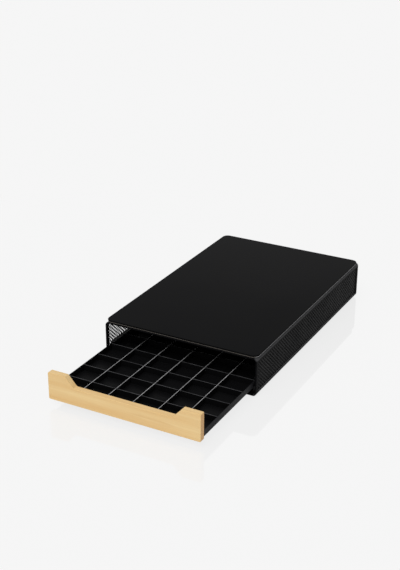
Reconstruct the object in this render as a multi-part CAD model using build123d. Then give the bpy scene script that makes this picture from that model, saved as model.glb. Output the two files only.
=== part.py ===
from build123d import *

import math
import os

os.makedirs("parts", exist_ok=True)

# A low kitchen drawer unit: a steel sleeve with mesh sides and a glass top holds
# one shallow drawer with a bamboo front and sixty open cells.
# X runs across the front, -Y points out of the front, +Z is up, in millimetres.
# The drawer is drawn as far out as it stands in the photograph.
# The origin is on the table, under the middle of the whole with the drawer so.

# ---------------------------------------------------------------- housing
HOUSING_WIDTH = 306.0
HOUSING_DEPTH = 480.0
HOUSING_HEIGHT = 73.5
HOUSING_SHEET = 1.2
HOUSING_BEND = 7.0  # outside radius of the four long bends
HEM_WIDTH = 3.0  # folded front edge, as seen from the front
HEM_DEPTH = 5.0
HEM_EDGE = 0.9  # bevel of the folded front edge
WINDOW_BORDER = 1.5  # flat sheet left round each mesh window
WINDOW_CORNER = 3.0

# ---------------------------------------------------------------- mesh sides
MESH_SHEET = 0.8
MESH_GAP = 0.3  # between a panel's edge and the bend, hem or flange beside it
MESH_PITCH = 18.0  # diamond to diamond, both along and up the panel
MESH_STRAND = 2.8
MESH_MARGIN = 3.0  # least plain strip round the diamonds

# ---------------------------------------------------------------- back panel
BACK_SHEET = 1.2
BACK_FLANGE = 5.0
BACK_GAP = 0.1  # between the panel's flange and the sleeve
BUMPER_RADIUS = 5.0
BUMPER_HEIGHT = 1.2
BUMPER_SPREAD = 200.0

# ---------------------------------------------------------------- glass top
GLASS_THICKNESS = 4.0
GLASS_SIDE_INSET = 0.5
GLASS_END_INSET = 0.5
GLASS_CORNER = 12.0
GLASS_EDGE = 0.7  # ground bevel
PAD_SIZE = 12.0
PAD_HEIGHT = 0.5
PAD_INSET = 22.0
PAD_ROWS = 3

# ---------------------------------------------------------------- feet
FOOT_RADIUS = 8.0
FOOT_HEIGHT = 2.0
FOOT_INSET = 24.0

# ---------------------------------------------------------------- runners
RUNNER_SHEET = 1.2
RUNNER_GAP = 0.2  # between a runner's web and the mesh panel
RUNNER_TOP_BEND = 0.8  # inside radius under the lip
RUNNER_FLANGE = 20.0  # width of the flange on the sleeve's floor
RUNNER_LIP = 8.3  # width of the lip over the drawer's side
RUNNER_REAR_GAP = 2.0  # from the back panel's flange
GLIDE_HEIGHT = 12.3
GLIDE_REACH = 6.0  # how far a glide strip reaches in under the tray
GLIDE_RIDGE = 3.3  # height of the guiding ridge above the track
GLIDE_GAP = 0.2  # between a glide strip and the runner's web
STOP_LENGTH = 6.0
STOP_GAP = 0.3  # between a stop block and the ridge below it

# ---------------------------------------------------------------- drawer
SIDE_PLAY = 3.1  # between the tray's side and the runner's web
TRACK_PLAY = 0.3  # between the tray's underside and the glide strip
LIP_PLAY = 0.7  # between the tray's rim and the runner's lip
RIDGE_PLAY = 0.5  # between the tray's side and the glide's ridge
STOP_PLAY = 0.6  # between the tray's side and the stop block
LUG_PLAY = 0.7  # between the tray's lug and the runner's web
CLOSED_PLAY = 0.5  # between the closed front and the runners' ends
END_PLAY = 0.3  # left at each end of the travel
TRAY_SHEET = 1.0
TRAY_WALL = 12.5
TRAY_BEND = 0.6  # inside radius along the floor
LUG_LENGTH = 6.0
LUG_LIFT = 0.6  # lug's underside above the glide's ridge
LUG_DROP = 1.5  # lug's top below the tray's rim
DRAWER_OPEN = 190.0  # how far the drawer stands out at rest
DRAWER_TRAVEL = 340.0  # closed to fully out

# ---------------------------------------------------------------- dividers
COLUMNS = 6
ROWS = 10
DIVIDER_SHEET = 1.0
DIVIDER_DROP = 0.3  # divider's top edge below the tray's rim
DIVIDER_PLAY = 0.3  # at the divider's ends
DIVIDER_RELIEF = 1.0  # bevel that clears the tray's floor bend
SLOT_PLAY = 0.1  # each side of a half-lap slot and at its foot

# ---------------------------------------------------------------- bamboo front
FRONT_THICKNESS = 12.0
FRONT_TOP_GAP = 9.0  # from the closed front up to the sleeve's mouth
FRONT_DROP = 4.3  # front's lower edge below the tray
FRONT_END = 34.5  # width of each raised end, along its top
NOTCH_DEPTH = 18.8
NOTCH_ANGLE = 48.0
NOTCH_SHOULDER = 3.0
NOTCH_FOOT = 4.0
FRONT_CORNER = 2.0
FRONT_EDGE = 0.9  # bevel round the board's faces

# ---------------------------------------------------------------- screws
SCREW_RADIUS = 1.75
SCREW_DEPTH = 8.0
SCREW_HEAD_RADIUS = 3.5
SCREW_HEAD = 2.0
SCREW_GAP = 0.05  # radial, round a screw's shank
SCREW_HEIGHT = 7.0  # above the tray's underside

# ---------------------------------------------------------------- worked out
housing_middle_y = DRAWER_OPEN / 2
front_y = housing_middle_y - HOUSING_DEPTH / 2
rear_y = housing_middle_y + HOUSING_DEPTH / 2
sleeve_bottom = FOOT_HEIGHT
sleeve_top = sleeve_bottom + HOUSING_HEIGHT
sleeve_middle = sleeve_bottom + HOUSING_HEIGHT / 2
sleeve_floor = sleeve_bottom + HOUSING_SHEET
inner_bend = HOUSING_BEND - HOUSING_SHEET
wall_inner_x = HOUSING_WIDTH / 2 - HOUSING_SHEET
glass_bottom = sleeve_top + PAD_HEIGHT

flat_wall = HOUSING_HEIGHT - 2 * HOUSING_BEND
hem_rear = front_y + HEM_DEPTH
flange_front = rear_y - BACK_FLANGE
flat_middle_y = (hem_rear + flange_front) / 2
flat_length = flange_front - hem_rear
panel_length = flat_length - 2 * MESH_GAP
panel_height = flat_wall - 2 * MESH_GAP

mesh_inner_x = wall_inner_x - MESH_SHEET
web_outer_x = mesh_inner_x - RUNNER_GAP
web_inner_x = web_outer_x - RUNNER_SHEET
runner_floor = sleeve_floor + RUNNER_SHEET
runner_front = front_y + FRONT_THICKNESS + CLOSED_PLAY
runner_rear = flange_front - RUNNER_REAR_GAP

tray_half = web_inner_x - SIDE_PLAY
tray_width = 2 * tray_half
track_z = runner_floor + GLIDE_HEIGHT
tray_bottom = track_z + TRACK_PLAY
tray_rim = tray_bottom + TRAY_WALL
tray_floor = tray_bottom + TRAY_SHEET
lip_under = tray_rim + LIP_PLAY
runner_top = lip_under + RUNNER_SHEET

back_inner_y = rear_y - BACK_SHEET
tray_length = back_inner_y - BUMPER_HEIGHT - END_PLAY - (front_y + FRONT_THICKNESS)
tray_front = front_y + FRONT_THICKNESS - DRAWER_OPEN
tray_middle_y = tray_front + tray_length / 2
inner_width = tray_width - 2 * TRAY_SHEET
inner_length = tray_length - 2 * TRAY_SHEET
column_pitch = inner_width / COLUMNS
row_pitch = inner_length / ROWS
cell_front = tray_front + TRAY_SHEET
divider_height = tray_rim - DIVIDER_DROP - tray_floor

ridge_inner_x = tray_half + RIDGE_PLAY
ridge_top = track_z + GLIDE_RIDGE
stop_rear = runner_front + STOP_LENGTH
lug_front = stop_rear + (DRAWER_TRAVEL - DRAWER_OPEN) + END_PLAY

front_bottom = tray_bottom - FRONT_DROP
front_height = sleeve_top - HEM_WIDTH - FRONT_TOP_GAP - front_bottom
screw_z = tray_bottom + SCREW_HEIGHT

SIDES = (("left", -1), ("right", 1))


def column_x(place):
    """X of a place across the cells, counted in cells from the left wall."""
    return place * column_pitch - inner_width / 2


def row_y(place):
    """Y of a place along the cells, counted in cells from the front wall."""
    return cell_front + place * row_pitch


def along_y(outline, y_low, y_high):
    """Extrude an outline drawn in X and Z from y_low to y_high."""
    plane = Plane(origin=(0, y_high, 0), x_dir=(1, 0, 0), z_dir=(0, -1, 0))
    return extrude(plane * outline, y_high - y_low)


def across_x(outline, x_low, x_high):
    """Extrude an outline drawn in Y and Z from x_low to x_high."""
    plane = Plane(origin=(x_low, 0, 0), x_dir=(0, 1, 0), z_dir=(1, 0, 0))
    return extrude(plane * outline, x_high - x_low)


def level(radius, y_low, y_high, x, z):
    """A round bar that lies along Y from y_low to y_high."""
    bar = Cylinder(radius, y_high - y_low, align=(Align.CENTER, Align.CENTER, Align.MIN))
    return Pos(x, y_high, z) * Rot(90, 0, 0) * bar


def block(x_range, y_range, z_range):
    """A plain block between three pairs of limits."""
    size = [high - low for low, high in (x_range, y_range, z_range)]
    corner = Pos(x_range[0], y_range[0], z_range[0])
    return corner * Box(*size, align=(Align.MIN, Align.MIN, Align.MIN))


def end_edges(solid, axis):
    """The edges round a solid's first and last faces along an axis."""
    faces = solid.faces().sort_by(axis)
    return faces[0].edges() + faces[-1].edges()


def mirror_side(shape, side):
    """The shape as drawn for the right side, or mirrored for the left."""
    return shape if side > 0 else mirror(shape, about=Plane.YZ)


def save(name, *shapes):
    """Write one node: a single solid, or a group of separate ones."""
    solids = [solid for shape in shapes for solid in shape.solids()]
    node = solids[0] if len(solids) == 1 else Compound(children=solids)
    export_step(node, f"parts/{name}.step")


# ---------------------------------------------------------------- housing
def nested(inset):
    """The sleeve's rounded outline, drawn smaller all round by an inset."""
    width = HOUSING_WIDTH - 2 * inset
    height = HOUSING_HEIGHT - 2 * inset
    return Pos(0, sleeve_middle) * RectangleRounded(width, height, HOUSING_BEND - inset)


def housing_sleeve():
    """The folded sleeve: floor, sides and top, with a hem round its mouth."""
    sleeve = along_y(nested(0) - nested(HOUSING_SHEET), front_y, rear_y)
    sleeve += along_y(nested(0) - nested(HEM_WIDTH), front_y, hem_rear)
    sleeve = chamfer(sleeve.faces().sort_by(Axis.Y)[0].edges(), HEM_EDGE)
    window = Pos(flat_middle_y, sleeve_middle) * RectangleRounded(
        flat_length - 2 * WINDOW_BORDER, flat_wall - 2 * WINDOW_BORDER, WINDOW_CORNER
    )
    return sleeve - across_x(window, -HOUSING_WIDTH, HOUSING_WIDTH)


def side_mesh():
    """A punched mesh panel: rows of diamonds, every second row half a step on."""
    hole_side = MESH_PITCH / math.sqrt(2) - MESH_STRAND
    border = hole_side / math.sqrt(2) + MESH_MARGIN
    step = MESH_PITCH / 2
    half_columns = int((panel_length / 2 - border) / step)
    half_rows = int((panel_height / 2 - border) / step)
    diamonds = [
        Pos(column * step, row * step) * Rectangle(hole_side, hole_side, rotation=45)
        for column in range(-half_columns, half_columns + 1)
        for row in range(-half_rows, half_rows + 1)
        if (column + row - half_columns - half_rows) % 2 == 0
    ]
    sheet = Pos(flat_middle_y, sleeve_middle) * (Rectangle(panel_length, panel_height) - diamonds)
    return across_x(sheet, mesh_inner_x, wall_inner_x)


def back_panel():
    """A shallow pressed pan that closes the sleeve's rear."""
    flange = HOUSING_SHEET + BACK_GAP
    pan = along_y(nested(flange), flange_front, rear_y)
    return pan - along_y(nested(flange + BACK_SHEET), flange_front, back_inner_y)


def closing_bumpers():
    """Rubber dots that the tray's rear wall meets when the drawer shuts."""
    z = tray_bottom + TRAY_WALL / 2
    face = back_inner_y - BUMPER_HEIGHT
    return [
        level(BUMPER_RADIUS, face, back_inner_y, side * BUMPER_SPREAD / 2, z) for side in (-1, 1)
    ]


def glass_top():
    """The toughened glass shelf, with rounded corners and ground edges."""
    width = HOUSING_WIDTH - 2 * GLASS_SIDE_INSET
    depth = HOUSING_DEPTH - 2 * GLASS_END_INSET
    sheet = extrude(RectangleRounded(width, depth, GLASS_CORNER), GLASS_THICKNESS)
    return Pos(0, housing_middle_y, glass_bottom) * chamfer(end_edges(sheet, Axis.Z), GLASS_EDGE)


def glass_pads():
    """Silicone pads between the sleeve's top and the glass."""
    x = HOUSING_WIDTH / 2 - GLASS_SIDE_INSET - PAD_INSET
    reach = HOUSING_DEPTH / 2 - GLASS_END_INSET - PAD_INSET
    step = 2 * reach / (PAD_ROWS - 1)
    pad = Box(PAD_SIZE, PAD_SIZE, PAD_HEIGHT, align=(Align.CENTER, Align.CENTER, Align.MIN))
    return [
        Pos(side * x, housing_middle_y - reach + step * row, sleeve_top) * pad
        for side in (-1, 1)
        for row in range(PAD_ROWS)
    ]


def foot(side_x, side_y):
    """A round rubber foot under one corner of the sleeve."""
    x = side_x * (HOUSING_WIDTH / 2 - FOOT_INSET)
    y = housing_middle_y + side_y * (HOUSING_DEPTH / 2 - FOOT_INSET)
    disc = Cylinder(FOOT_RADIUS, FOOT_HEIGHT, align=(Align.CENTER, Align.CENTER, Align.MIN))
    return Pos(x, y) * disc


# ---------------------------------------------------------------- runners
def runner():
    """A folded runner, spot-welded to the floor: flange, web and a lip over the tray."""
    toe_x = web_outer_x - RUNNER_FLANGE
    lip_x = web_outer_x - RUNNER_LIP
    outside = FilletPolyline(
        (toe_x, sleeve_floor),
        (web_outer_x, sleeve_floor),
        (web_outer_x, runner_top),
        (lip_x, runner_top),
        radius=[inner_bend, RUNNER_TOP_BEND + RUNNER_SHEET],
    )
    section = make_face(outside.offset_2d(RUNNER_SHEET, side=Side.LEFT, closed=True))
    return along_y(section, runner_front, runner_rear)


def glide_strip():
    """The plastic track in a runner: the tray slides on it, beside a ridge."""
    inner_x = tray_half - GLIDE_REACH
    outer_x = web_inner_x - GLIDE_GAP
    low_corner = (Align.MIN, Align.MIN)
    track = Rectangle(outer_x - inner_x, GLIDE_HEIGHT, align=low_corner)
    heel = track.vertices().group_by(Axis.Y)[0].sort_by(Axis.X)[-1]
    track = Pos(inner_x, runner_floor) * fillet(heel, inner_bend - RUNNER_SHEET)
    ridge = Rectangle(outer_x - ridge_inner_x, GLIDE_RIDGE, align=low_corner)
    section = track + Pos(ridge_inner_x, track_z) * ridge
    return along_y(section, runner_front, runner_rear)


def stop_block():
    """The block on a runner's web that catches the tray's lug."""
    x_range = (tray_half + STOP_PLAY, web_inner_x)
    z_range = (ridge_top + STOP_GAP, lip_under - RUNNER_TOP_BEND)
    return block(x_range, (runner_front, stop_rear), z_range)


# ---------------------------------------------------------------- drawer
def screw_columns():
    """X of each screw: in the end cells and in the two beside the middle."""
    near_middle = COLUMNS // 2
    cells = (0, near_middle - 1, COLUMNS - near_middle, COLUMNS - 1)
    return [column_x(cell + 0.5) for cell in cells]


def drawer_tray():
    """The shallow folded tray, with holes for the screws of its front."""
    outer = extrude(Rectangle(tray_width, tray_length), TRAY_WALL)
    outer = fillet(outer.faces().sort_by(Axis.Z)[0].edges(), TRAY_BEND + TRAY_SHEET)
    inner = extrude(Rectangle(inner_width, inner_length), TRAY_WALL)
    inner = fillet(inner.faces().sort_by(Axis.Z)[0].edges(), TRAY_BEND)
    pan = Pos(0, tray_middle_y, tray_bottom) * (outer - Pos(0, 0, TRAY_SHEET) * inner)
    radius = SCREW_RADIUS + SCREW_GAP
    return pan - [level(radius, tray_front, cell_front, x, screw_z) for x in screw_columns()]


def stop_lug():
    """The lug on the tray's side that ends the drawer's travel."""
    x_range = (tray_half, web_inner_x - LUG_PLAY)
    z_range = (ridge_top + LUG_LIFT, tray_rim - LUG_DROP)
    return block(x_range, (lug_front, lug_front + LUG_LENGTH), z_range)


def divider(length, slots, slots_at_top):
    """A divider strip in its own plane, with half-lap slots along one edge."""
    strip = Rectangle(length, divider_height, align=(Align.CENTER, Align.MIN))
    strip = chamfer(strip.vertices().group_by(Axis.Y)[0], DIVIDER_RELIEF)
    slot_width = DIVIDER_SHEET + 2 * SLOT_PLAY
    slot_depth = divider_height / 2 + SLOT_PLAY
    edge = divider_height if slots_at_top else 0
    anchor = (Align.CENTER, Align.MAX if slots_at_top else Align.MIN)
    slot = Rectangle(slot_width, slot_depth, align=anchor)
    return strip - [Pos(place, edge) * slot for place in slots]


def long_divider(index):
    """A divider that runs front to back, slotted from above."""
    slots = [row_y(row) - tray_middle_y for row in range(1, ROWS)]
    strip = divider(inner_length - 2 * DIVIDER_PLAY, slots, True)
    x = column_x(index)
    outline = Pos(tray_middle_y, tray_floor) * strip
    return across_x(outline, x - DIVIDER_SHEET / 2, x + DIVIDER_SHEET / 2)


def cross_divider(index):
    """A divider that runs side to side, slotted from below."""
    slots = [column_x(column) for column in range(1, COLUMNS)]
    strip = divider(inner_width - 2 * DIVIDER_PLAY, slots, False)
    y = row_y(index)
    return along_y(Pos(0, tray_floor) * strip, y - DIVIDER_SHEET / 2, y + DIVIDER_SHEET / 2)


def bamboo_front():
    """The bamboo front: raised ends and a lowered middle with sloping sides."""
    shoulder = tray_half - FRONT_END
    foot_x = shoulder - NOTCH_DEPTH / math.tan(math.radians(NOTCH_ANGLE))
    top = front_bottom + front_height
    notch = top - NOTCH_DEPTH
    right = [
        ((tray_half, front_bottom), FRONT_CORNER),
        ((tray_half, top), FRONT_CORNER),
        ((shoulder, top), NOTCH_SHOULDER),
        ((foot_x, notch), NOTCH_FOOT),
    ]
    left = [((-x, z), radius) for (x, z), radius in reversed(right)]
    corners, radii = zip(*right, *left)
    outline = make_face(FilletPolyline(*corners, radius=radii, close=True))
    board = along_y(outline, tray_front - FRONT_THICKNESS, tray_front)
    board = chamfer(end_edges(board, Axis.Y), FRONT_EDGE)
    hole_end = tray_front - SCREW_DEPTH - SCREW_GAP
    radius = SCREW_RADIUS + SCREW_GAP
    return board - [level(radius, hole_end, tray_front, x, screw_z) for x in screw_columns()]


def front_screw(x):
    """A flat-headed screw from inside the tray into the bamboo."""
    shank = level(SCREW_RADIUS, tray_front - SCREW_DEPTH, cell_front, x, screw_z)
    head = level(SCREW_HEAD_RADIUS, cell_front, cell_front + SCREW_HEAD, x, screw_z)
    return shank + head


save("housing_sleeve", housing_sleeve())
save("back_panel", back_panel())
save("closing_bumpers", *closing_bumpers())
save("glass_top", glass_top())
save("glass_pads", *glass_pads())
for side_name, side in SIDES:
    save(f"side_mesh_{side_name}", mirror_side(side_mesh(), side))
    save(f"runner_{side_name}", mirror_side(runner(), side))
    save(f"glide_strip_{side_name}", mirror_side(glide_strip(), side))
    save(f"stop_block_{side_name}", mirror_side(stop_block(), side))
    save(f"stop_lug_{side_name}", mirror_side(stop_lug(), side))
    save(f"foot_front_{side_name}", foot(side, -1))
    save(f"foot_rear_{side_name}", foot(side, 1))
save("drawer_tray", drawer_tray())
save("bamboo_front", bamboo_front())
save("front_screws", *[front_screw(x) for x in screw_columns()])
for number in range(1, COLUMNS):
    save(f"long_divider_{number}", long_divider(number))
for number in range(1, ROWS):
    save(f"cross_divider_{number}", cross_divider(number))

print(f"tray {tray_width:.2f} x {tray_length:.2f}, cells {column_pitch:.2f} x {row_pitch:.2f}")
print(f"front {front_height:.2f} high, from z {front_bottom:.2f}, y {tray_front:.2f}")
print(f"levels: track {track_z:.2f}, tray {tray_bottom:.2f} to {tray_rim:.2f}, lip {lip_under:.2f}")
print(f"lug from y {lug_front:.2f}, stop block to y {stop_rear:.2f}")
print(f"overall height {glass_bottom + GLASS_THICKNESS:.2f}")
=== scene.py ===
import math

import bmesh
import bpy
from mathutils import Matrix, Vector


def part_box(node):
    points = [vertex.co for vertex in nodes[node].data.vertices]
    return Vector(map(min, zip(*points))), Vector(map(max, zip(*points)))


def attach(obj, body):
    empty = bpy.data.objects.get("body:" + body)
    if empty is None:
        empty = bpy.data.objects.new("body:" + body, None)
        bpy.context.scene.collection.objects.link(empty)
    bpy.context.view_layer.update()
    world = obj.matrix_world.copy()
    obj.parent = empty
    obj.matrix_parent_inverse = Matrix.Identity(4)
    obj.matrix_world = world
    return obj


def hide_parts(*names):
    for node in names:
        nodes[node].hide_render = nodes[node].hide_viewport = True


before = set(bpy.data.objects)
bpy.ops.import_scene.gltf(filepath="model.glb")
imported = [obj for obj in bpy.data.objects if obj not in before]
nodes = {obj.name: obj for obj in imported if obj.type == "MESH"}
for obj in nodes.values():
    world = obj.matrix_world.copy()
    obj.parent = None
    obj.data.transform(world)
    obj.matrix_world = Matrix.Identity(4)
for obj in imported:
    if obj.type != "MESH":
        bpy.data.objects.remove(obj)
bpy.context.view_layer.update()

# %% [markdown]
# # A coffee pod drawer, dressed for the camera
#
# The solid model is already here: a steel housing with a glass top, and one
# shallow drawer on runners. This lesson gives each part the surface that the
# real one has, and rebuilds the few parts whose fine form was left to this
# file: the punched mesh sides, the eased bamboo board, the screws.
#
# Units are metres. X runs across the front, -Y points out of the front.

MM = 0.001
scene = bpy.context.scene

# %% [markdown]
# ## The camera
#
# The photograph is taken from above the right front corner with a short
# telephoto lens. Its place was worked out from the corners and long edges of
# the real drawer: the yaw turns the view to the left, the pitch tips it down.
# A lens is given in millimetres against a 36 mm film, so the focal length in
# pixels is multiplied by 36 and divided by the picture's height.

# %% camera
FOCAL_PIXELS = 1118.39
PICTURE_HEIGHT = 570
YAW = math.radians(28.168)
PITCH = math.radians(24.112)
ROLL = math.radians(0.228)
CAMERA_PLACE = (0.86280, -1.67683, 0.96825)
FILM_HEIGHT = 36

camera_data = bpy.data.cameras.new("camera")
camera_data.sensor_fit = "VERTICAL"
camera_data.sensor_height = FILM_HEIGHT
camera_data.lens = FOCAL_PIXELS * FILM_HEIGHT / PICTURE_HEIGHT
camera = bpy.data.objects.new("camera", camera_data)
scene.collection.objects.link(camera)
turn = Matrix.Rotation(YAW, 4, "Z") @ Matrix.Rotation(math.pi / 2 - PITCH, 4, "X")
camera.matrix_world = Matrix.Translation(CAMERA_PLACE) @ turn @ Matrix.Rotation(ROLL, 4, "Z")
scene.camera = camera
scene.view_settings.view_transform = "Standard"
print("lens", round(camera_data.lens, 2), "mm")

# %% [markdown]
# ## Helpers for materials
#
# Colours are picked as sRGB hex values, as in any paint program, but a shader
# works in linear light, so one function converts them, and another dims the
# result. One more adds a node, sets it up and links it, which keeps each
# material to a few lines. The last two start a material and link two sockets.

# %% colour and node helpers
def linear(hex_colour):
    """An sRGB colour such as "#deba82" in the linear light of a shader."""
    parts = [int(hex_colour[i : i + 2], 16) / 255 for i in (1, 3, 5)]
    bent = [c / 12.92 if c <= 0.04045 else ((c + 0.055) / 1.055) ** 2.4 for c in parts]
    return (*bent, 1.0)


def dimmed(colour, share):
    """A linear colour with this share of its light."""
    return (*[share * c for c in colour[:3]], 1.0)


def add_node(material, kind, settings=None, inputs=None):
    """Add one node, set its settings, and fill or link its inputs."""
    tree = material.node_tree
    node = tree.nodes.new(kind)
    for name, value in (settings or {}).items():
        setattr(node, name, value)
    for name, value in (inputs or {}).items():
        if isinstance(value, bpy.types.NodeSocket):
            tree.links.new(value, node.inputs[name])
        else:
            node.inputs[name].default_value = value
    return node


def new_material(name, **values):
    """A material and its shader, with plain values; _ stands for a space in a name."""
    material = bpy.data.materials.new(name)
    material.use_nodes = True
    shader = material.node_tree.nodes["Principled BSDF"]
    for socket, value in values.items():
        shader.inputs[socket.replace("_", " ")].default_value = value
    return material, shader


def connect(material, source, target):
    """Link one socket to another."""
    material.node_tree.links.new(source, target)


# %% [markdown]
# ## The floor, the room and the lamp
#
# The object stands in a plain pale studio. The floor takes most of its
# brightness from its own colour, so the picture stays evenly pale to its edges,
# while a small share still answers to the lamp and keeps a faint shadow. The
# real floor is a sheet with a thin clear gloss, which mirrors the object by
# about a tenth. A Fresnel node gives just that: weak from above, stronger at a
# low angle. The lamp is one sun with a very wide disc, because a sun lights the
# whole floor alike, and a wide disc keeps the shadows soft.

# %% floor
BACKDROP = linear("#f6f6f6")
SHADOW_SHARE = 0.06
FLOOR_SIZE = 24.0
FLOOR_GAP = 0.2 * MM
SHEET_ROUGHNESS = 0.015
SHEET_IOR = 1.34

floor_mesh = bpy.data.meshes.new("studio_floor")
far = FLOOR_SIZE / 2
floor_corners = [(-far, -far, 0), (far, -far, 0), (far, far, 0), (-far, far, 0)]
floor_mesh.from_pydata(floor_corners, [], [(0, 1, 2, 3)])
floor = bpy.data.objects.new("studio_floor", floor_mesh)
floor.location.z = -FLOOR_GAP
scene.collection.objects.link(floor)


def seen_directly(material):
    """A socket that is 1 for what the camera sees, straight or by a mirror."""
    rays = add_node(material, "ShaderNodeLightPath")
    either = {0: rays.outputs["Is Camera Ray"], 1: rays.outputs["Is Glossy Ray"]}
    return add_node(material, "ShaderNodeMath", {"operation": "MAXIMUM"}, either).outputs[0]


floor_sheet, sheet_shader = new_material(
    "glossy_backdrop_sheet", Base_Color=BACKDROP, Roughness=1.0, Specular_IOR_Level=0.0
)
own_light = {"Color": BACKDROP, "Strength": 1 - SHADOW_SHARE}
glow = add_node(floor_sheet, "ShaderNodeEmission", inputs=own_light)
answer = {"Color": dimmed(BACKDROP, SHADOW_SHARE)}
lit = add_node(floor_sheet, "ShaderNodeBsdfDiffuse", inputs=answer)
pale = add_node(floor_sheet, "ShaderNodeAddShader")
connect(floor_sheet, glow.outputs[0], pale.inputs[0])
connect(floor_sheet, lit.outputs[0], pale.inputs[1])
clear = {"Color": (1.0, 1.0, 1.0, 1.0), "Roughness": SHEET_ROUGHNESS}
mirror = add_node(floor_sheet, "ShaderNodeBsdfGlossy", inputs=clear)
gloss = add_node(floor_sheet, "ShaderNodeFresnel", inputs={"IOR": SHEET_IOR})
glossy_pale = add_node(floor_sheet, "ShaderNodeMixShader", inputs={0: gloss.outputs[0]})
connect(floor_sheet, pale.outputs[0], glossy_pale.inputs[1])
connect(floor_sheet, mirror.outputs[0], glossy_pale.inputs[2])
choice = add_node(floor_sheet, "ShaderNodeMixShader", inputs={0: seen_directly(floor_sheet)})
connect(floor_sheet, sheet_shader.outputs[0], choice.inputs[1])
connect(floor_sheet, glossy_pale.outputs[0], choice.inputs[2])
sheet_out = floor_sheet.node_tree.nodes["Material Output"]
connect(floor_sheet, choice.outputs[0], sheet_out.inputs["Surface"])
floor_mesh.materials.append(floor_sheet)
print("floor", FLOOR_SIZE, "m wide, shadow share", SHADOW_SHARE)

# %% room
ROOM_LIGHT = 0.5
room = bpy.data.worlds.new("studio_room")
room.use_nodes = True
scene.world = room
wall = room.node_tree.nodes["Background"]
wall.inputs["Color"].default_value = BACKDROP
room_rays = add_node(room, "ShaderNodeLightPath")
through = {0: seen_directly(room), 1: room_rays.outputs["Is Transmission Ray"]}
shown = add_node(room, "ShaderNodeMath", {"operation": "MAXIMUM"}, through)
# What is shown has strength 1, and what only lights the object ROOM_LIGHT.
shown_or_lighting = {0: shown.outputs[0], 1: 1 - ROOM_LIGHT, 2: ROOM_LIGHT}
strength = add_node(room, "ShaderNodeMath", {"operation": "MULTIPLY_ADD"}, shown_or_lighting)
connect(room, strength.outputs[0], wall.inputs["Strength"])
print("room light", ROOM_LIGHT)

# %% lamp
SUN_TOWARD = Vector((0.0, -0.8, 1.3))
SUN_STRENGTH = 1.8
SUN_DISC = 40

sun_data = bpy.data.lights.new("key_sun", "SUN")
sun_data.energy = SUN_STRENGTH
sun_data.angle = math.radians(SUN_DISC)
sun = bpy.data.objects.new("key_sun", sun_data)
sun.rotation_euler = SUN_TOWARD.to_track_quat("Z", "Y").to_euler()
sun.visible_glossy = False
scene.collection.objects.link(sun)
print("sun strength", SUN_STRENGTH, "disc", SUN_DISC, "degrees")

# %% [markdown]
# ## Powder-coated steel
#
# The housing, runners and tray are sheet steel with a baked powder coat. The
# powder melts into a film that is satin, with the faint dimpling called orange
# peel. It could be drawn as a plain dark colour, but the dimples are what break
# up the highlights along a fold, so a noise texture drives a bump. Real dimples
# are about 0.8 mm apart; they are drawn at 1.2 mm so that they show at all. A
# second, wider noise varies the roughness, as a hand wipe or an uneven film
# does. The specular level is under the usual half, because the real coat has a
# matting powder in it and mirrors the pale room very little.

# %% powder coats
DIMPLE = 1.2 * MM
DIMPLE_DEPTH = 0.02 * MM
FILM_SCALE = 22.0  # repeats per metre, so the film changes every 45 mm or so
FILM_DARKEST = 0.86
ROUGHNESS_SWING = 0.05


def grain_noise(material, scale, detail, stretch=(1.0, 1.0, 1.0)):
    """A noise over the object's own space, in repeats per metre."""
    place = add_node(material, "ShaderNodeTexCoord").outputs["Object"]
    drawn = add_node(material, "ShaderNodeMapping", inputs={"Vector": place, "Scale": stretch})
    values = {"Vector": drawn.outputs[0], "Scale": scale, "Detail": detail}
    return add_node(material, "ShaderNodeTexNoise", inputs=values).outputs["Fac"]


def stained(material, base, colour, where, start, full, most=1.0):
    """A base colour, stained with another as a value goes from start to full."""
    limits = {"Value": where, "From Min": start, "From Max": full, "To Max": most}
    share = add_node(material, "ShaderNodeMapRange", inputs=limits).outputs[0]
    colours = {"Factor": share, 6: base, 7: colour}
    return add_node(material, "ShaderNodeMix", {"data_type": "RGBA"}, colours).outputs[2]


def varied_roughness(material, shader, pattern, smooth, rough):
    """Let a noise move the roughness between two values."""
    limits = {"Value": pattern, "From Min": 0.3, "From Max": 0.7}
    limits.update({"To Min": smooth, "To Max": rough})
    sheen = add_node(material, "ShaderNodeMapRange", inputs=limits).outputs[0]
    connect(material, sheen, shader.inputs["Roughness"])


def powder_coat(name, colour, roughness, specular):
    """A baked powder coat, with its shader and its tone: satin, orange-peel dimples."""
    coat, shader = new_material(name, IOR=1.5, Specular_IOR_Level=specular)
    peel = grain_noise(coat, 1 / DIMPLE, 1.0)
    dimples = {"Height": peel, "Distance": DIMPLE_DEPTH, "Strength": 0.6}
    bump = add_node(coat, "ShaderNodeBump", inputs=dimples)
    connect(coat, bump.outputs["Normal"], shader.inputs["Normal"])
    film = grain_noise(coat, FILM_SCALE, 3.0)
    smooth, rough = roughness - ROUGHNESS_SWING, roughness + ROUGHNESS_SWING
    varied_roughness(coat, shader, film, smooth, rough)
    deep = dimmed(linear(colour), FILM_DARKEST)
    tone = stained(coat, deep, linear(colour), film, 0.0, 1.0)
    connect(coat, tone, shader.inputs["Base Color"])
    print(name, colour, "roughness", roughness)
    return coat, shader, tone


mesh_coat = powder_coat("powder_coated_mesh_black", "#121213", 0.45, 0.03)[0]
pressing_coat = powder_coat("powder_coated_pressings_black", "#1b1b1d", 0.4, 0.15)[0]
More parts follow.
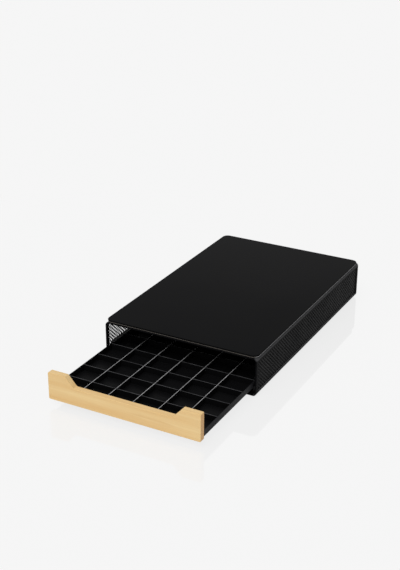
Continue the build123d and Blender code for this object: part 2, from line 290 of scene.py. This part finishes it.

# %% [markdown]
# ## The housing, with painted highlights along its bends
#
# The four long bends are painted a little paler than the flats: a painted
# highlight where a bend catches the light. It could be painted by hand, but the
# bends are the only places that look sideways and upwards or downwards at once.
# So the two parts of the normal are multiplied, and the product is nearly nil
# everywhere else. The cut edges of the side windows get a painted highlight too.
# They are what looks straight up or down so far out from the middle, so for them
# the place across is multiplied by the upright part of the normal.

# %% housing coat
# The two colours below are painted highlights: on the four long bends and on the window edges.
BEND_HIGHLIGHT = "#444445"
WINDOW_EDGE_HIGHLIGHT = "#5c5c5d"
BEND_START = 0.1  # the product where the steel has turned by 6 degrees
BEND_FULL = 0.35  # and by 22 degrees


def amount(material, vector, axis):
    """How large one part of a vector is, whatever its sign."""
    sizes = add_node(material, "ShaderNodeVectorMath", {"operation": "ABSOLUTE"}, {0: vector})
    parts = add_node(material, "ShaderNodeSeparateXYZ", inputs={0: sizes.outputs[0]})
    return parts.outputs[axis]


housing_coat, housing_shader, housing_tone = powder_coat(
    "powder_coated_steel_black", "#101011", 0.4, 0.008
)
way = add_node(housing_coat, "ShaderNodeNewGeometry").outputs["True Normal"]
slanting = {0: amount(housing_coat, way, "X"), 1: amount(housing_coat, way, "Z")}
bend = add_node(housing_coat, "ShaderNodeMath", {"operation": "MULTIPLY"}, slanting).outputs[0]
# Painted highlight: the bends are made paler than the flats.
highlight_painted = stained(
    housing_coat, housing_tone, linear(BEND_HIGHLIGHT), bend, BEND_START, BEND_FULL
)
place = add_node(housing_coat, "ShaderNodeTexCoord").outputs["Object"]
far_out = {0: amount(housing_coat, place, "X"), 1: amount(housing_coat, way, "Z")}
cut = add_node(housing_coat, "ShaderNodeMath", {"operation": "MULTIPLY"}, far_out).outputs[0]
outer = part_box("housing_sleeve")[1].x
# Painted highlight on the window edges.
window_edges_highlighted = stained(housing_coat, highlight_painted, linear(WINDOW_EDGE_HIGHLIGHT), cut, outer - 5 * MM, outer - 2 * MM)
connect(housing_coat, window_edges_highlighted, housing_shader.inputs["Base Color"])
print("housing bends rubbed to", BEND_HIGHLIGHT, "and window edges to", WINDOW_EDGE_HIGHLIGHT)

# %% [markdown]
# ## Dividers with a painted highlight along the top
#
# The dividers are sheared from coated sheet, so their faces are black, and a pale
# painted highlight runs along the top edge, like a pencil line. It could be a
# separate strip of geometry, but the edge is only the thickness of the sheet: a
# mask on the normal is enough, which is 1 where the surface looks straight up or
# down. The painted highlight is brighter on the strips that run front to back
# than on the ones across.

# %% divider coats
HIGHLIGHT_BREAK_SCALE = 90.0  # repeats per metre, so the painted highlight dims every 11 mm or so
HIGHLIGHT_DARKEST = 0.55


def highlight_edge_coat(name, colour, highlight_colour):
    """A black powder coat with a painted highlight along its level edges."""
    coat, shader, tone = powder_coat(name, colour, 0.5, 0.03)
    highlight_breaks = grain_noise(coat, HIGHLIGHT_BREAK_SCALE, 3.0)
    # The pale edge colour is a painted highlight, dimmed here and there by a noise.
    dim_highlight = dimmed(linear(highlight_colour), HIGHLIGHT_DARKEST)
    edge_highlight = stained(coat, dim_highlight, linear(highlight_colour), highlight_breaks, 0.35, 0.65)
    way = add_node(coat, "ShaderNodeNewGeometry").outputs["True Normal"]
    highlighted = stained(coat, tone, edge_highlight, amount(coat, way, "Z"), 0.6, 0.9)
    connect(coat, highlighted, shader.inputs["Base Color"])
    return coat


# Painted highlights on the divider tops, brighter on the long ones.
long_divider_coat = highlight_edge_coat("steel_long_divider_painted_highlight", "#0e0e0f", "#bdbdbe")
cross_divider_coat = highlight_edge_coat("steel_cross_divider_painted_highlight", "#0e0e0f", "#5c5c5e")

# %% [markdown]
# ## The tray, with painted shade inside
#
# The outside of the tray is satin like the housing, and slides past the light
# along the right side. The inside is painted a darker black: painted shade, so
# that the cells look deep. The two meet at the rim: a mask on the place across
# the tray is 1 between the side walls and 0 on their outer faces.

# %% tray coat
SHADE_EDGE = 0.5 * MM
SHADE_FADE = 0.1 * MM

tray_coat, tray_shader, tray_tone = powder_coat(
    "powder_coated_tray_black", "#202022", 0.45, 0.03
)
tray_low, tray_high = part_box("drawer_tray")
inside_x = tray_high.x - SHADE_EDGE
place = add_node(tray_coat, "ShaderNodeTexCoord").outputs["Object"]
across = amount(tray_coat, place, "X")
# Painted shade: the inside of the tray is made darker than the outside.
shaded_inside = stained(
    tray_coat, tray_tone, linear("#0d0d0e"), across, inside_x + SHADE_FADE, inside_x
)
connect(tray_coat, shaded_inside, tray_shader.inputs["Base Color"])
print("tray dull inside of x", round(inside_x / MM, 1), "mm")

# %% [markdown]
# ## Black glass
#
# The shelf is toughened glass with a black enamel fired on its underside. From
# above, the eye meets the polished face first and the enamel only through it,
# so it reads as a deep, smooth black that mirrors the room faintly. It could be
# real transparent glass over a black sheet, but an opaque black with a polished
# face looks the same and renders clean. The ripples of float glass are far too
# long and shallow to see, so only the polish and the tone vary a little. The
# specular level is far below the usual half, because the real shelf faces a
# darker room than this white one. Along the lower edge of the sheet a thin pale
# line is painted in: a painted highlight, paler along the two long sides.

# %% glass
RIPPLE_SCALE = 6.0  # repeats per metre, so the polish changes every 170 mm or so
HIGHLIGHT_LINE = 1.4 * MM
HIGHLIGHT_FADE = 0.1 * MM

shelf_glass, glass_shader = new_material(
    "toughened_glass_black_enamel", IOR=1.52, Specular_IOR_Level=0.01
)
ripple = grain_noise(shelf_glass, RIPPLE_SCALE, 1.0)
varied_roughness(shelf_glass, glass_shader, ripple, 0.08, 0.14)
enamel = stained(shelf_glass, linear("#070708"), linear("#0d0d0e"), ripple, 0.0, 1.0)
way = add_node(shelf_glass, "ShaderNodeNewGeometry").outputs["True Normal"]
sideways = amount(shelf_glass, way, "X")
# Painted highlight: a pale line along the lower edge, paler on the long sides.
painted_line_colour = stained(shelf_glass, linear("#6a6661"), linear("#98989a"), sideways, 0.6, 0.75)
place = add_node(shelf_glass, "ShaderNodeTexCoord").outputs["Object"]
glass_low, glass_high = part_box("glass_top")
line_top = glass_low.z + HIGHLIGHT_LINE
height = amount(shelf_glass, place, "Z")
highlighted = stained(
    shelf_glass, enamel, painted_line_colour, height, line_top + HIGHLIGHT_FADE, line_top - HIGHLIGHT_FADE
)
connect(shelf_glass, highlighted, glass_shader.inputs["Base Color"])
print("glass shelf", [round(side / MM) for side in glass_high - glass_low], "mm")

# %% [markdown]
# ## Laminated bamboo
#
# The board is pressed from split bamboo strips and planed. A wood texture of
# rings would be wrong, because bamboo has none: it is a bundle of straight
# fibres. So three noises are stretched along the board. A wide one is the
# change of tone from strip to strip, soft because the planed joints are tight.
# A narrow one is the fibres, drawn 0.8 mm apart, which is coarser than the real
# ones. A third, cut off high, leaves only a few darker streaks. The ends show
# the same fibres as dots, and are darker: partly end grain, which soaks up
# lacquer, and partly painted shade.

# %% bamboo
STRIP = 7.0 * MM
FIBRE = 0.8 * MM
FIBRE_DEPTH = 0.04 * MM
ALONG = 0.055  # strips are 18 times as long as wide, and fibres twice that

bamboo, bamboo_shader = new_material(
    "laminated_bamboo_lacquered", IOR=1.5, Specular_IOR_Level=0.25
)
strips = grain_noise(bamboo, 1 / (2 * STRIP), 1.5, (ALONG, 1.0, 1.0))
fibres = grain_noise(bamboo, 1 / (2 * FIBRE), 3.0, (ALONG / 2, 1.0, 1.0))
streaks = grain_noise(bamboo, 1 / STRIP, 2.0, (ALONG, 0.6, 1.4))
body_tone = stained(bamboo, linear("#dfba80"), linear("#e8ca93"), strips, 0.32, 0.68)
fibre_tone = stained(bamboo, body_tone, linear("#d6ad73"), fibres, 0.35, 0.65, 0.22)
streak_tone = stained(bamboo, fibre_tone, linear("#cc9e62"), streaks, 0.6, 0.76, 0.4)
way = add_node(bamboo, "ShaderNodeNewGeometry").outputs["True Normal"]
end_face = amount(bamboo, way, "X")
# The ends are darker: partly end grain, partly painted shade.
end_grain_and_shade = stained(bamboo, streak_tone, linear("#ca9c64"), end_face, 0.8, 0.98, 0.8)
connect(bamboo, end_grain_and_shade, bamboo_shader.inputs["Base Color"])
varied_roughness(bamboo, bamboo_shader, fibres, 0.42, 0.52)
fibre_relief = {"Height": fibres, "Distance": FIBRE_DEPTH, "Strength": 0.5}
fibre_bump = add_node(bamboo, "ShaderNodeBump", inputs=fibre_relief)
connect(bamboo, fibre_bump.outputs["Normal"], bamboo_shader.inputs["Normal"])
print("bamboo strips of", STRIP / MM, "mm, fibres", FIBRE / MM, "mm apart")


# %% [markdown]
# ## Nylon, rubber, silicone and zinc
#
# The glide strips and stop blocks are moulded nylon: matt, with a fine spark
# texture from the mould. Feet and bumpers are rubber, duller still. The pads
# under the glass are silicone, a little glossier. The real grit of such moulds
# is under 0.2 mm, and is drawn from 0.5 mm up so that it shows. The screws are
# zinc-plated steel, a cool grey metal with a faint cloudy passivation.

# %% small finishes
CLOUD = 2.5 * MM


def moulded(name, colour, roughness, grit, depth):
    """A moulded plastic or rubber with the fine grit of its mould."""
    skin, shader = new_material(
        name, Roughness=roughness, IOR=1.5, Specular_IOR_Level=0.3
    )
    spark = grain_noise(skin, 1 / grit, 2.0)
    tone = stained(skin, linear("#0f0f10"), linear(colour), spark, 0.0, 1.0)
    connect(skin, tone, shader.inputs["Base Color"])
    bump = add_node(skin, "ShaderNodeBump", inputs={"Height": spark, "Distance": depth})
    connect(skin, bump.outputs["Normal"], shader.inputs["Normal"])
    print(name, colour, "roughness", roughness)
    return skin


nylon = moulded("moulded_nylon_dark", "#2c2c2e", 0.5, 0.5 * MM, 0.02 * MM)
rubber = moulded("moulded_rubber_black", "#1d1d1e", 0.8, 0.9 * MM, 0.04 * MM)
silicone = moulded("moulded_silicone_black", "#262626", 0.55, 1.2 * MM, 0.01 * MM)

zinc, zinc_shader = new_material("zinc_plated_steel", Metallic=1.0, Roughness=0.3)
cloud = grain_noise(zinc, 1 / CLOUD, 3.0)
zinc_tone = stained(zinc, linear("#a4a6a8"), linear("#c9cbcd"), cloud, 0.0, 1.0)
connect(zinc, zinc_tone, zinc_shader.inputs["Base Color"])

# %% [markdown]
# ## Finishes for the parts that keep their solid
#
# Small moulded and pressed parts have no true sharp edge: a mould rounds it and
# a coat pools over it. The eye reads that as a thin bright line. A Bevel modifier
# gives such parts that edge without touching their mesh. The large sheets, the
# glass and the dividers keep the edges of their solids, so their width is 0.

# %% dress the kept parts
def dress(name, material, ease):
    """Give a kept part its material and, where a width is given, eased edges."""
    part = nodes[name]
    part.data.materials.clear()
    part.data.materials.append(material)
    if ease:
        edge = part.modifiers.new("eased_edges", "BEVEL")
        edge.width = ease
        edge.segments = 2
        edge.limit_method = "ANGLE"
        edge.angle_limit = math.radians(40)


finishes = {
    "housing_sleeve": (housing_coat, 0.0),
    "back_panel": (pressing_coat, 0.0),
    "glass_top": (shelf_glass, 0.0),
    "glass_pads": (silicone, 0.15 * MM),
    "closing_bumpers": (rubber, 0.2 * MM),
    "drawer_tray": (tray_coat, 0.0),
}
for side_name in ("left", "right"):
    finishes[f"runner_{side_name}"] = (pressing_coat, 0.0)
    finishes[f"glide_strip_{side_name}"] = (nylon, 0.2 * MM)
    finishes[f"stop_block_{side_name}"] = (nylon, 0.3 * MM)
    finishes[f"stop_lug_{side_name}"] = (tray_coat, 0.2 * MM)
    finishes[f"foot_front_{side_name}"] = (rubber, 0.4 * MM)
    finishes[f"foot_rear_{side_name}"] = (rubber, 0.4 * MM)
for name in nodes:
    if name.startswith("long_divider"):
        finishes[name] = (long_divider_coat, 0.0)
    if name.startswith("cross_divider"):
        finishes[name] = (cross_divider_coat, 0.0)
for name, (material, ease) in finishes.items():
    dress(name, material, ease)
print("dressed", len(finishes), "kept parts")


# %% [markdown]
# ## The punched mesh sides
#
# Each side of the housing is a sheet of steel with diamond holes punched point
# to point, so that only a lattice of slanting strands is left. The solid has a
# coarse version of it. A texture with holes would look flat from the side, so
# the lattice is built hole by hole: each hole sits in a diamond cell, and four
# faces fill the ring between the cell and its hole. The shears cut through the
# cells along the border, so half holes run under the window's frame. Last, the
# sheet is given its thickness.

# %% mesh panel builder
HOLE_LENGTH = 7.7 * MM
HOLE_HEIGHT = 7.12 * MM
STRAND = 1.8 * MM
SAME_PLACE = 0.01 * MM
CELL_TIPS = ((1, 0), (0, 1), (-1, 0), (0, -1))


def finish_piece(name, mesh, material, body, replaced):
    """Put a built mesh in the scene as a piece that stands for solids."""
    piece = bpy.data.objects.new(name, mesh)
    scene.collection.objects.link(piece)
    piece.data.materials.append(material)
    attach(piece, body)
    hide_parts(*replaced)
    return piece


def close_sheet(grid, thickness, direction):
    """Give a flat sheet its thickness, and check that the result is closed."""
    flat = grid.faces[:]
    raised = bmesh.ops.extrude_face_region(grid, geom=flat, use_keep_orig=True)
    corners = [item for item in raised["geom"] if isinstance(item, bmesh.types.BMVert)]
    bmesh.ops.translate(grid, verts=corners, vec=Vector(direction) * thickness)
    bmesh.ops.recalc_face_normals(grid, faces=grid.faces)
    open_edges = [edge for edge in grid.edges if len(edge.link_faces) != 2]
    print("open edges:", len(open_edges))


def mesh_panel(name, node):
    """A punched panel in the place of a coarse one."""
    low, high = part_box(node)
    columns = int((high.y - low.y) / HOLE_LENGTH)
    rows = int((high.z - low.z) / HOLE_HEIGHT)
    half_y, half_z = HOLE_LENGTH / 2, HOLE_HEIGHT / 2
    start_y = (low.y + high.y) / 2 - columns * half_y
    start_z = (low.z + high.z) / 2 - rows * half_z
    open_share = 1 - STRAND / 2 * math.hypot(half_y, half_z) / (half_y * half_z)
    grid = bmesh.new()
    found = {}

    def corner(y, z):
        key = (round(y / SAME_PLACE), round(z / SAME_PLACE))
        if key not in found:
            found[key] = grid.verts.new((low.x, y, z))
        return found[key]

    def lattice(i, j):
        return corner(start_y + i * half_y, start_z + j * half_z)

    for i in range(2 * columns + 1):
        for j in range(i % 2, 2 * rows + 1, 2):
            for (a, b), (c, d) in zip(CELL_TIPS, CELL_TIPS[1:] + CELL_TIPS[:1]):
                if not (0 <= min(i + a, i + c) and max(i + a, i + c) <= 2 * columns):
                    continue
                if not (0 <= min(j + b, j + d) and max(j + b, j + d) <= 2 * rows):
                    continue
                ring = [lattice(i + c * open_share, j + d * open_share)]
                ring.append(lattice(i + a * open_share, j + b * open_share))
                grid.faces.new([lattice(i + a, j + b), lattice(i + c, j + d), *ring])
    ticks_y = [start_y + tick * half_y for tick in border_ticks(columns, open_share)]
    ticks_z = [start_z + tick * half_z for tick in border_ticks(rows, open_share)]
    fill_border(grid, corner, ticks_y, ticks_z, (low, high))
    close_sheet(grid, high.x - low.x, (1, 0, 0))
    mesh = bpy.data.meshes.new(name)
    grid.to_mesh(mesh)
    grid.free()
    print(name, columns, "x", rows, "cells,", len(mesh.polygons), "faces")
    finish_piece(name, mesh, mesh_coat, "housing", [node])


def border_ticks(count, open_share):
    """Where the strands and the half holes meet one border, in half cells."""
    ticks = [0]
    for cell in range(0, 2 * count, 2):
        ticks += [cell + open_share, cell + 1, cell + 2 - open_share]
    return ticks + [2 * count]


def fill_border(grid, corner, ticks_y, ticks_z, panel):
    """Fill the plain strip between the lattice and the panel's edge."""
    low, high = panel
    for edge_z, rim_z in ((ticks_z[0], low.z), (ticks_z[-1], high.z)):
        for a, b in zip(ticks_y, ticks_y[1:]):
            quad = [corner(a, edge_z), corner(b, edge_z), corner(b, rim_z), corner(a, rim_z)]
            grid.faces.new(quad)
    for edge_y, rim_y in ((ticks_y[0], low.y), (ticks_y[-1], high.y)):
        for a, b in zip(ticks_z, ticks_z[1:]):
            quad = [corner(edge_y, a), corner(edge_y, b), corner(rim_y, b), corner(rim_y, a)]
            grid.faces.new(quad)
        for edge_z, rim_z in ((ticks_z[0], low.z), (ticks_z[-1], high.z)):
            quad = [
                corner(edge_y, edge_z),
                corner(rim_y, edge_z),
                corner(rim_y, rim_z),
                corner(edge_y, rim_z),
            ]
            grid.faces.new(quad)


# %% mesh panels
for side_name in ("left", "right"):
    mesh_panel(f"punched_panel_{side_name}", f"side_mesh_{side_name}")

# %% [markdown]
# ## The bamboo board
#
# The front is sawn from one board: raised ends, a lowered middle with sloping
# shoulders, and all edges eased so that they feel soft. The solid has the
# outline with a plain bevel. Here the same outline is drawn as a ring of points
# with its corners rounded, given its thickness, and its two faces get a round
# edge of 0.9 mm from a Bevel modifier, which catches the light.

# %% board outline
def rounded_ring(corners, steps=8):
    """The points of a closed outline whose corners are rounded by radii."""
    ring = []
    count = len(corners)
    for k in range(count):
        here, radius = Vector(corners[k][0]), corners[k][1]
        back = (Vector(corners[k - 1][0]) - here).normalized()
        ahead = (Vector(corners[(k + 1) % count][0]) - here).normalized()
        half_angle = back.angle(ahead) / 2
        reach = radius / math.tan(half_angle)
        middle = here + (back + ahead).normalized() * (radius / math.sin(half_angle))
        first = here + back * reach - middle
        last = here + ahead * reach - middle
        swing = first.angle_signed(last)
        for step in range(steps + 1):
            angle = -swing * step / steps
            across = first.x * math.cos(angle) - first.y * math.sin(angle)
            up = first.x * math.sin(angle) + first.y * math.cos(angle)
            ring.append(middle + Vector((across, up)))
    return ring


# %% board
ROUTED_EDGE = 0.9 * MM
END_WIDTH = 34.5 * MM
NOTCH_DEPTH = 18.8 * MM
NOTCH_SLOPE = math.radians(48)

low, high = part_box("bamboo_front")
shoulder = high.x - END_WIDTH
notch_foot = shoulder - NOTCH_DEPTH / math.tan(NOTCH_SLOPE)
notch_z = high.z - NOTCH_DEPTH
right_half = [
    ((high.x, low.z), 2.0 * MM),
    ((high.x, high.z), 2.0 * MM),
    ((shoulder, high.z), 3.0 * MM),
    ((notch_foot, notch_z), 4.0 * MM),
]
left_half = [((-x, z), radius) for (x, z), radius in reversed(right_half)]
outline = rounded_ring(right_half + left_half)
board = bmesh.new()
board.faces.new([board.verts.new((point.x, low.y, point.y)) for point in outline])
close_sheet(board, high.y - low.y, (0, 1, 0))
board_mesh = bpy.data.meshes.new("bamboo_board")
board.to_mesh(board_mesh)
board.free()
for polygon in board_mesh.polygons:
    polygon.use_smooth = True
bamboo_board = finish_piece(
    "bamboo_board", board_mesh, bamboo, "drawer", ["bamboo_front"]
)
routed = bamboo_board.modifiers.new("routed_edge", "BEVEL")
routed.width = ROUTED_EDGE
routed.segments = 4
routed.limit_method = "ANGLE"
routed.angle_limit = math.radians(50)
routed.harden_normals = True
print("board", round((high.x - low.x) / MM, 1), "x", round((high.z - low.z) / MM, 1), "mm")

# %% [markdown]
# ## The front's screws
#
# Four screws go from inside the tray into the bamboo. The solid has plain
# shanks and flat discs. Here each screw is turned on a lathe: rings of points
# round its axis, from the tip over the thread to the head, and then a cross
# recess. A ring round the recess is not a circle but a plus, and as every point
# of a plus can be seen from its middle, the same number of points can go round
# both, so the faces between them stay plain quads.

# %% screw sizes
HEAD_RADIUS = 3.5 * MM
HEAD_HEIGHT = 2.0 * MM
TIP_RADIUS = 0.35 * MM
THREAD_RADIUS = 1.7 * MM
CORE_RADIUS = 1.15 * MM
THREAD_PITCH = 1.2 * MM
RECESS_ARM = 1.75 * MM
RECESS_WIDTH = 0.62 * MM
RECESS_DEPTH = 1.3 * MM
RECESS_FLOOR = 0.6  # the recess narrows to this share of its width

corner_turn = math.atan2(RECESS_WIDTH / 2, RECESS_ARM)
first_turns = [0.0, corner_turn, corner_turn + 0.3, math.radians(45)]
quarter_turns = first_turns + [math.radians(90) - turn for turn in reversed(first_turns[1:-1])]
TURNS = [quarter * math.pi / 2 + turn for quarter in range(4) for turn in quarter_turns]


def plus_reach(turn):
    """How far the edge of the cross recess is from its middle at a turn."""
    bent = turn % (math.pi / 2)
    bent = min(bent, math.pi / 2 - bent)
    if bent <= corner_turn + 1e-6:
        return RECESS_ARM / math.cos(bent)
    return RECESS_WIDTH / 2 / math.sin(bent)


def screw_rings(length):
    """Rings from the tip to the recess: a height and a radius for each turn."""
    height = -length + THREAD_PITCH
    rings = [(-length, [TIP_RADIUS] * len(TURNS)), (height, [CORE_RADIUS] * len(TURNS))]
    while height < -1.6 * THREAD_PITCH:
        for rise, radius in ((0.25, THREAD_RADIUS), (0.5, CORE_RADIUS), (1.0, CORE_RADIUS)):
            rings.append((height + rise * THREAD_PITCH, [radius] * len(TURNS)))
        height += THREAD_PITCH
    rings.append((0.0, [CORE_RADIUS] * len(TURNS)))
    for share_out, share_up in ((1.0, 0.0), (1.0, 0.3), (0.93, 0.62), (0.8, 0.86), (0.62, 1.0)):
        rings.append((share_up * HEAD_HEIGHT, [share_out * HEAD_RADIUS] * len(TURNS)))
    for depth, share in ((0.0, 1.0), (RECESS_DEPTH, RECESS_FLOOR)):
        reach = [share * plus_reach(turn) for turn in TURNS]
        rings.append((HEAD_HEIGHT - depth, reach))
    return rings


# %% screws
TRAY_SHEET = 1.0 * MM
CELLS_ACROSS = 6
CELLS_FROM_MIDDLE = (0.5, 2.5)  # in the middle of the first and the third cell

low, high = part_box("front_screws")
seat_y = high.y - HEAD_HEIGHT
screw_z = (low.z + high.z) / 2
cell = (tray_high.x - tray_low.x - 2 * TRAY_SHEET) / CELLS_ACROSS
screw_places = [side * cell * share for side in (-1, 1) for share in CELLS_FROM_MIDDLE]
screws = bmesh.new()
for place_x in screw_places:
    loops = []
    for height, reach in screw_rings(seat_y - low.y):
        loop = [
            screws.verts.new(
                (place_x + r * math.cos(turn), seat_y + height, screw_z + r * math.sin(turn))
            )
            for r, turn in zip(reach, TURNS)
        ]
        loops.append(loop)
    for below, above in zip(loops, loops[1:]):
        for k in range(len(TURNS)):
            n = (k + 1) % len(TURNS)
            screws.faces.new((below[k], below[n], above[n], above[k]))
    screws.faces.new(loops[0])
    screws.faces.new(loops[-1])
bmesh.ops.recalc_face_normals(screws, faces=screws.faces)
print("open edges:", len([edge for edge in screws.edges if len(edge.link_faces) != 2]))
screw_mesh = bpy.data.meshes.new("cross_recess_screws")
screws.to_mesh(screw_mesh)
screws.free()
finish_piece(
    "cross_recess_screws", screw_mesh, zinc, "drawer", ["front_screws"]
)
print("screws at x", [round(x / MM, 1) for x in screw_places])
